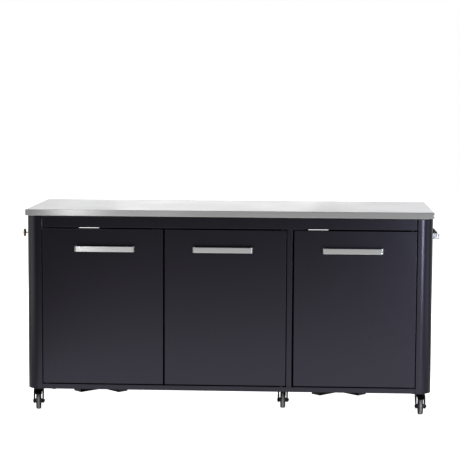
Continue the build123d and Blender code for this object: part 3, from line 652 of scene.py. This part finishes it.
def pressed_fork(caster):
    """A fork pressed from one sheet: crown, cheeks that lean to the axle, a skirt, a pedal if braked."""
    shape = bmesh.new()
    half, deep = FORK_WIDTH / 2, CROWN_DEPTH / 2
    low = AXLE_LEVEL - FORK_END
    fold(shape, [(-half, low), (-half, CROWN_TOP), (half, CROWN_TOP), (half, low)], 1, (-60.0, 60.0))
    round_off(shape, folds_of(shape), FORK_BEND, 6)
    rise = CROWN_TOP - AXLE_LEVEL
    rear_lean, front_lean = deep + TRAIL - FORK_END, TRAIL + FORK_END - deep
    trim(shape, (0.0, deep, CROWN_TOP), (0.0, rise, -rear_lean))
    trim(shape, (0.0, -deep, CROWN_TOP), (0.0, -rise, front_lean))
    round_corners(shape, [v for v in shape.verts if v.co.z < low + PICK], FORK_CORNER, 7)
    thicken(shape, -FORK_SHEET)
    skirt = bmesh.new()
    skirt_y = deep - rear_lean / rise * SKIRT_DEPTH
    fold(skirt, [(deep - 1.0, CROWN_TOP - 1.0), (skirt_y, CROWN_TOP - SKIRT_DEPTH)], 0,
         (-FORK_INSIDE, FORK_INSIDE))
    thicken(skirt, FORK_SHEET / 2)
    take_in(shape, skirt)
    if caster in BRAKED:
        pedal = bmesh.new()
        tip = -deep - PEDAL_REACH
        line = [(PEDAL_LAP - deep, CROWN_BOTTOM), (-deep, CROWN_BOTTOM), (tip, CROWN_BOTTOM - PEDAL_FALL)]
        fold(pedal, line, 0, (-PEDAL_WIDTH / 2, PEDAL_WIDTH / 2))
        round_off(pedal, folds_of(pedal), FORK_BEND, 5)
        round_corners(pedal, [v for v in pedal.verts if v.co.y < tip + PICK], PEDAL_CORNER)
        thicken(pedal, PEDAL_SHEET)
        take_in(shape, pedal)
    round_off(shape, sharp_edges(shape, 60.0), FORK_EASE, 2)
    stand(shape, caster)
    piece(caster + "_pressed_fork", shape, caster + "_swivel", caster + "_fork")


def axle_bolt(caster):
    """The blackened axle bolt: a low domed head on the left, a hexagon nut on the right."""
    shape = bmesh.new()
    place = (0.0, -TRAIL, AXLE_LEVEL)
    half = FORK_WIDTH / 2
    bolt = [(0.0, -half - 2.5), (4.0, -half - 2.4), (6.4, -half - 1.6), (AXLE_HEAD, -half - 0.6),
            (AXLE_HEAD, -half), (AXLE_RADIUS, -half), (AXLE_RADIUS, half + 4.2), (3.4, half + 4.8),
            (0.0, half + 4.8)]
    nut = [(AXLE_RADIUS, half), (6.2, half), (AXLE_HEAD, half + 0.6), (AXLE_HEAD, half + 3.4),
           (6.2, half + 4.0), (AXLE_RADIUS, half + 4.0), (AXLE_RADIUS, half)]
    lathe(shape, bolt, 0, place, 32)
    lathe(shape, nut, 0, place, 6)
    stand(shape, caster)
    piece(caster + "_axle_bolt", shape, caster + "_swivel", caster + "_axle", "black_zinc")


def pedal_rivets(caster):
    """Two bright rivet heads on a brake pedal."""
    shape = bmesh.new()
    for across in (-RIVET_OFFSET, RIVET_OFFSET):
        spot = (across, -CROWN_DEPTH / 2 - PEDAL_REACH / 2, CROWN_BOTTOM - PEDAL_FALL / 2 - 0.8)
        lathe(shape, [(0.0, 0.0), (3.6, 0.0), (3.6, 1.2), (2.6, 2.3), (0.0, 2.8)], 2, spot, 20)
    stand(shape, caster)
    piece(caster + "_pedal_rivets", shape, caster + "_swivel", caster + "_axle", "zinc_steel")


def moulded_hub(caster):
    """The wheel's core: a rim and a barrel joined by a thin web with ribs on both sides."""
    shape = bmesh.new()
    place = Vector((0.0, -TRAIL, AXLE_LEVEL))
    end = FORK_INSIDE - 0.3
    half = [(4.1, end), (9.2, end), (10.0, end - 0.8), (10.0, 6.0), (WEB_INSIDE, 4.4),
            (WEB_OUTSIDE, WEB_HALF), (23.0, 5.2), (23.6, 8.4), (24.2, 9.0), (RIM_RADIUS, 9.0)]
    profile = half + [(r, -h) for r, h in reversed(half)] + half[:1]
    lathe(shape, profile, 0, place, 60)
    for side in (-1, 1):
        ribs = []
        for face in shape.faces:
            spot = face.calc_center_median() - place
            ring = WEB_INSIDE < math.hypot(spot.y, spot.z) < WEB_OUTSIDE
            on_web = ring and abs(side * spot.x - WEB_HALF) < 0.5
            if on_web and math.degrees(math.atan2(spot.z, spot.y)) % (360.0 / HUB_RIBS) < RIB_ANGLE:
                ribs.append(face)
        raised = bmesh.ops.extrude_face_region(shape, geom=ribs)["geom"]
        bmesh.ops.translate(shape, vec=(side * RIB_HEIGHT, 0.0, 0.0),
                            verts=[v for v in raised if isinstance(v, bmesh.types.BMVert)])
        bmesh.ops.delete(shape, geom=ribs, context="FACES")
    stand(shape, caster)
    piece(caster + "_moulded_hub", shape, caster + "_wheel", caster + "_hub")


def rubber_tyre(caster):
    """The tyre: round black shoulders seated on the rim, with a band of pale tread set in between them."""
    place = (0.0, -TRAIL, AXLE_LEVEL)
    half = [(RIM_RADIUS, 10.2), (28.5, 10.8), (31.5, 11.2), (33.6, 10.8), (35.4, 9.6), (36.5, 7.6),
            (37.0, TREAD_HALF + 0.4), (36.6, TREAD_HALF), (TREAD_SEAT, TREAD_HALF)]
    shape = bmesh.new()
    lathe(shape, half + [(r, -h) for r, h in reversed(half)] + half[:1], 0, place, 72)
    stand(shape, caster)
    piece(caster + "_rubber_tyre", shape, caster + "_wheel", caster + "_tyre")
    half = [(TREAD_SEAT, TREAD_HALF), (36.8, TREAD_HALF), (37.2, TREAD_HALF - 0.4), (37.4, 2.4)]
    shape = bmesh.new()
    crown = [(AXLE_LEVEL, 0.0)]
    lathe(shape, half + crown + [(r, -h) for r, h in reversed(half)] + half[:1], 0, place, 72)
    stand(shape, caster)
    piece(caster + "_tread", shape, caster + "_wheel", caster + "_tyre", "tread_rubber")


worktop_skin()
side_wall(-1, "side_panel_left")
side_wall(1, "side_panel_right")
front_channel("fascia")
front_channel("bottom_rail")
door_post()
for side, centre in WELLS.items():
    cradle(centre, "bottle_cradle_" + side)
hex_screws()
button_screws()
disc_peg()
side_bow()
for door in DOORS:
    door_pan(door)
    door_bow(door)
caster_tops()
for caster in BRAKED:
    pedal_rivets(caster)
for caster in CASTERS:
    pressed_fork(caster)
    axle_bolt(caster)
    moulded_hub(caster)
    rubber_tyre(caster)


# Studio: white floor, soft boxes and the camera

def studio_floor():
    """A floor that the camera sees white; the unit sees a pool of light in front and a paler one behind."""
    mesh = bpy.data.meshes.new("studio_floor")
    shape = bmesh.new()
    bmesh.ops.create_grid(shape, x_segments=1, y_segments=1, size=14.0)
    shape.to_mesh(mesh)
    shape.free()
    floor = bpy.data.objects.new("studio_floor", mesh)
    scene.collection.objects.link(floor)
    material, tree, shader = finish("matt_white_floor",
                                    {"Roughness": 0.9, "Emission Color": (1.0, 1.0, 1.0, 1.0)})
    place = add(tree, "ShaderNodeTexCoord").outputs["Object"]
    axes = add(tree, "ShaderNodeSeparateXYZ", {0: place})
    # In metres along Y and X: where the pool starts, how it fades with distance, and its two sides
    near = add(tree, "ShaderNodeMapRange", {0: axes.outputs[1], 1: -0.42, 2: -0.55, 3: 0.0, 4: 1.0})
    far = add(tree, "ShaderNodeMapRange", {0: axes.outputs[1], 1: -6.6, 2: -1.3, 3: 0.20, 4: 1.45})
    left = add(tree, "ShaderNodeMapRange", {0: axes.outputs[0], 1: -1.4, 2: -1.0, 3: 0.0, 4: 1.0})
    right = add(tree, "ShaderNodeMapRange", {0: axes.outputs[0], 1: 1.7, 2: 1.2, 3: 0.0, 4: 1.0})
    wide = add(tree, "ShaderNodeMath", {0: left.outputs[0], 1: right.outputs[0]}, operation="MULTIPLY")
    front = add(tree, "ShaderNodeMath", {0: near.outputs[0], 1: wide.outputs[0]}, operation="MULTIPLY")
    # Weaker light under and beside the unit, and behind it
    around = add(tree, "ShaderNodeMapRange", {0: axes.outputs[1], 1: 0.6, 2: 0.3, 3: 0.0, 4: 0.34})
    behind = add(tree, "ShaderNodeMapRange", {0: axes.outputs[1], 1: 0.9, 2: 1.6, 3: 0.0, 4: 0.4})
    lit = add(tree, "ShaderNodeMath", {0: front.outputs[0], 1: around.outputs[0]}, operation="MAXIMUM")
    both = add(tree, "ShaderNodeMath", {0: lit.outputs[0], 1: behind.outputs[0]}, operation="MAXIMUM")
    pool = add(tree, "ShaderNodeMath", {0: both.outputs[0], 1: far.outputs[0]}, operation="MULTIPLY")
    ray = add(tree, "ShaderNodeLightPath")
    glow = add(tree, "ShaderNodeMix", {0: ray.outputs["Is Camera Ray"], 2: pool.outputs[0], 3: 1.0})
    tree.links.new(glow.outputs[0], shader.inputs["Emission Strength"])
    grey = add(tree, "ShaderNodeMix", {0: ray.outputs["Is Camera Ray"], 6: colour("#404040"),
                                       7: colour("#f4f4f4")}, data_type="RGBA")
    tree.links.new(grey.outputs[2], shader.inputs["Base Color"])
    mesh.materials.append(material)


def soft_box(name, place, target, width, height, radiance, tint, spread=180.0):
    """An area light that faces a target and shows it a radiance; a spread under 180 is a grid on it."""
    light = bpy.data.lights.new(name, "AREA")
    light.shape = "RECTANGLE"
    light.size = width
    light.size_y = height
    light.spread = math.radians(spread)
    half = math.radians(spread / 2)
    gain = math.tan(half) / (math.tan(half) - half) if spread < 179.0 else 1.0
    light.energy = math.pi * width * height * radiance / gain
    light.color = colour(tint)[:3]
    box = bpy.data.objects.new(name, light)
    scene.collection.objects.link(box)
    box.location = place
    box.rotation_euler = (Vector(target) - Vector(place)).to_track_quat("-Z", "Y").to_euler()
    box.visible_camera = False


def studio_world():
    """White behind everything; as a light a pale ceiling that fades, lower down at the sides."""
    world = bpy.data.worlds.new("studio")
    scene.world = world
    world.use_nodes = True
    tree = world.node_tree
    tree.nodes.clear()
    seen = add(tree, "ShaderNodeBackground", {"Color": (1.0, 1.0, 1.0, 1.0), "Strength": 1.0})
    way = add(tree, "ShaderNodeTexCoord").outputs["Generated"]
    axes = add(tree, "ShaderNodeSeparateXYZ", {0: way})
    # How far a direction rises over the horizon, with some added towards the sides
    side = add(tree, "ShaderNodeMath", {0: axes.outputs[0]}, operation="ABSOLUTE")
    lift = add(tree, "ShaderNodeMath", {0: side.outputs[0], 1: 0.16, 2: axes.outputs[2]},
               operation="MULTIPLY_ADD")
    rise = add(tree, "ShaderNodeMapRange", {0: lift.outputs[0], 1: 0.14, 2: 0.42, 3: 0.01, 4: 0.5})
    felt = add(tree, "ShaderNodeBackground", {"Color": colour("#fafaff"), "Strength": rise.outputs[0]})
    ray = add(tree, "ShaderNodeLightPath")
    both = add(tree, "ShaderNodeMixShader", {0: ray.outputs["Is Camera Ray"], 1: felt.outputs[0],
                                             2: seen.outputs[0]})
    add(tree, "ShaderNodeOutputWorld", {"Surface": both.outputs[0]})


def studio_camera():
    """The camera where the photograph was taken from, fitted to the unit's edges."""
    yaw, pitch, roll = -0.0496, 0.0953, -0.0046
    forward = Vector((math.sin(yaw) * math.cos(pitch), math.cos(yaw) * math.cos(pitch), -math.sin(pitch)))
    level = Vector((math.cos(yaw), -math.sin(yaw), 0.0))
    down = forward.cross(level)
    right = math.cos(roll) * level + math.sin(roll) * down
    below = math.cos(roll) * down - math.sin(roll) * level
    place = Vector((0.3433, -7.1608, 1.4799))
    lens = bpy.data.cameras.new("camera")
    lens.lens = 122.66
    lens.sensor_width = 36.0
    camera = bpy.data.objects.new("camera", lens)
    scene.collection.objects.link(camera)
    turn = Matrix((right, -below, -forward)).transposed().to_4x4()
    camera.matrix_world = Matrix.Translation(place) @ turn
    scene.camera = camera


scene.view_settings.view_transform = "Standard"
studio_floor()
studio_world()
studio_camera()
# Name, place, target, width and height in metres, radiance, tint, and a grid's spread in degrees
soft_box("right_key", (1.74, -2.60, 0.95), (0.90, -0.25, 0.60), 0.30, 1.1, 79.0, "#e8f0ff", 44.0)
soft_box("right_fill", (2.6, -1.0, 0.45), (0.0, -1.0, 0.45), 1.3, 0.9, 0.8, "#f6f6ff")
soft_box("left_fill", (-2.6, -0.9, 0.8), (0.0, -0.9, 0.8), 1.8, 1.4, 0.8, "#f8ffe8")
soft_box("back_drop", (0.0, 4.5, 2.1), (0.0, 0.0, 1.2), 6.4, 2.2, 2.75, "#ffffff")
soft_box("back_middle", (-0.35, 4.4, 2.1), (-0.35, 0.0, 1.2), 1.5, 2.2, 0.55, "#ffffff")
soft_box("front_left", (-0.70, -2.6, 1.8), (-0.45, -0.3, 0.9), 0.65, 1.0, 1.1, "#ffffff", 60.0)
soft_box("front_strip", (-1.07, -2.6, 1.8), (-0.70, -0.3, 0.9), 0.14, 1.0, 14.0, "#ffffff", 60.0)
